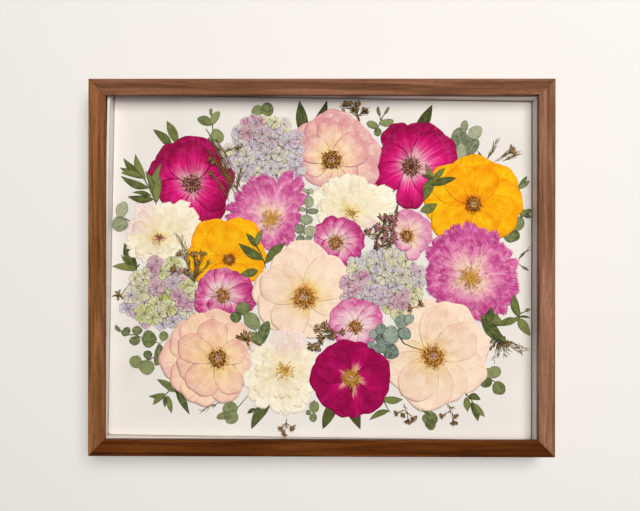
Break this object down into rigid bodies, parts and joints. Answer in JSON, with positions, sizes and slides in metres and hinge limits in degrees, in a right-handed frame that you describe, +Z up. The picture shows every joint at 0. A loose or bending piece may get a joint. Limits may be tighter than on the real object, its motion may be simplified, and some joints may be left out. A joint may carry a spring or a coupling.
{
  "type": "pressed flower frame",
  "caption": "Dried roses, carnations, hydrangeas and leaf sprigs pressed flat and layered on white board behind glass in a shallow mitred walnut shadow box frame.",
  "frame": {"origin": "middle of the frame's back, in the plane of the dust cover", "axes": "+X to the picture's right seen from the front, +Z up, and +Y out of the back towards the wall; the picture faces -Y"},
  "size_m": [0.5334, 0.034, 0.4318],
  "materials": {
    "walnut": "matte open-grain walnut, slightly eased edges",
    "glass": "clear picture glass",
    "white_board": "matte white foam board",
    "hardboard": "hardboard",
    "kraft_paper": "matte brown kraft paper",
    "steel": "zinc-plated steel",
    "rose_magenta": "dried pressed petals, matte, deep magenta",
    "rose_plum": "dried pressed petals, matte, plum with a pale yellow star",
    "rose_blush": "dried pressed petals, matte, peach with pink rims",
    "rose_cream": "dried pressed petals, matte, ivory",
    "rose_orange": "dried pressed petals, matte, golden orange",
    "rosette_pink": "dried pressed petals, matte, pink with pale bases",
    "carnation_white": "dried pressed petals, matte, cream",
    "carnation_pink": "dried pressed petals, matte, orchid pink with a yellow middle",
    "hydrangea": "dried pressed florets, matte, lilac and green",
    "eucalyptus": "dried pressed leaves, matte, grey green",
    "ruscus": "dried pressed leaves, matte, leaf green",
    "waxflower": "dried pressed twigs and buds, matte, brown"
  },
  "bodies": {
    "root": {"rail_top": "walnut", "rail_bottom": "walnut", "rail_left": "walnut", "rail_right": "walnut", "glass_pane": "glass", "spacer_top": "white_board", "spacer_bottom": "white_board", "spacer_left": "white_board", "spacer_right": "white_board", "mount_board": "white_board", "back_board": "hardboard", "dust_cover": "kraft_paper", "sawtooth_hanger": "steel", "eucalyptus_upper_left": "eucalyptus", "eucalyptus_top_right": "eucalyptus", "eucalyptus_corner": "eucalyptus", "eucalyptus_right": "eucalyptus", "eucalyptus_left": "eucalyptus", "eucalyptus_left_row": "eucalyptus", "eucalyptus_left_low": "eucalyptus", "eucalyptus_bottom_left": "eucalyptus", "eucalyptus_bottom_right": "eucalyptus", "eucalyptus_right_low": "eucalyptus", "ruscus_upper_left": "ruscus", "ruscus_left": "ruscus", "ruscus_bottom_left": "ruscus", "ruscus_bottom_right": "ruscus", "rose_magenta_left": "rose_magenta", "rose_magenta_right": "rose_magenta", "rose_blush_top": "rose_blush", "hydrangea_top": "hydrangea", "carnation_white_left": "carnation_white", "carnation_white_top": "carnation_white", "hydrangea_left": "hydrangea", "carnation_pink_top": "carnation_pink", "rose_orange_left": "rose_orange", "rose_orange_right": "rose_orange", "rosette_pink_left": "rosette_pink", "rosette_pink_centre": "rosette_pink", "carnation_pink_right": "carnation_pink", "rose_blush_left": "rose_blush", "ruscus_centre": "ruscus", "eucalyptus_silver_spray": "eucalyptus", "ruscus_right": "ruscus", "rose_cream_centre": "rose_cream", "hydrangea_right": "hydrangea", "rosette_pink_right": "rosette_pink", "rose_cream_right": "rose_cream", "carnation_white_bottom": "carnation_white", "rosette_pink_bottom": "rosette_pink", "rose_plum": "rose_plum", "ruscus_left_spray": "ruscus", "ruscus_orange": "ruscus", "eucalyptus_green_centre": "eucalyptus", "eucalyptus_blue": "eucalyptus", "waxflower_upper_left": "waxflower", "waxflower_left": "waxflower", "waxflower_centre": "waxflower"}
  },
  "joints": []
}
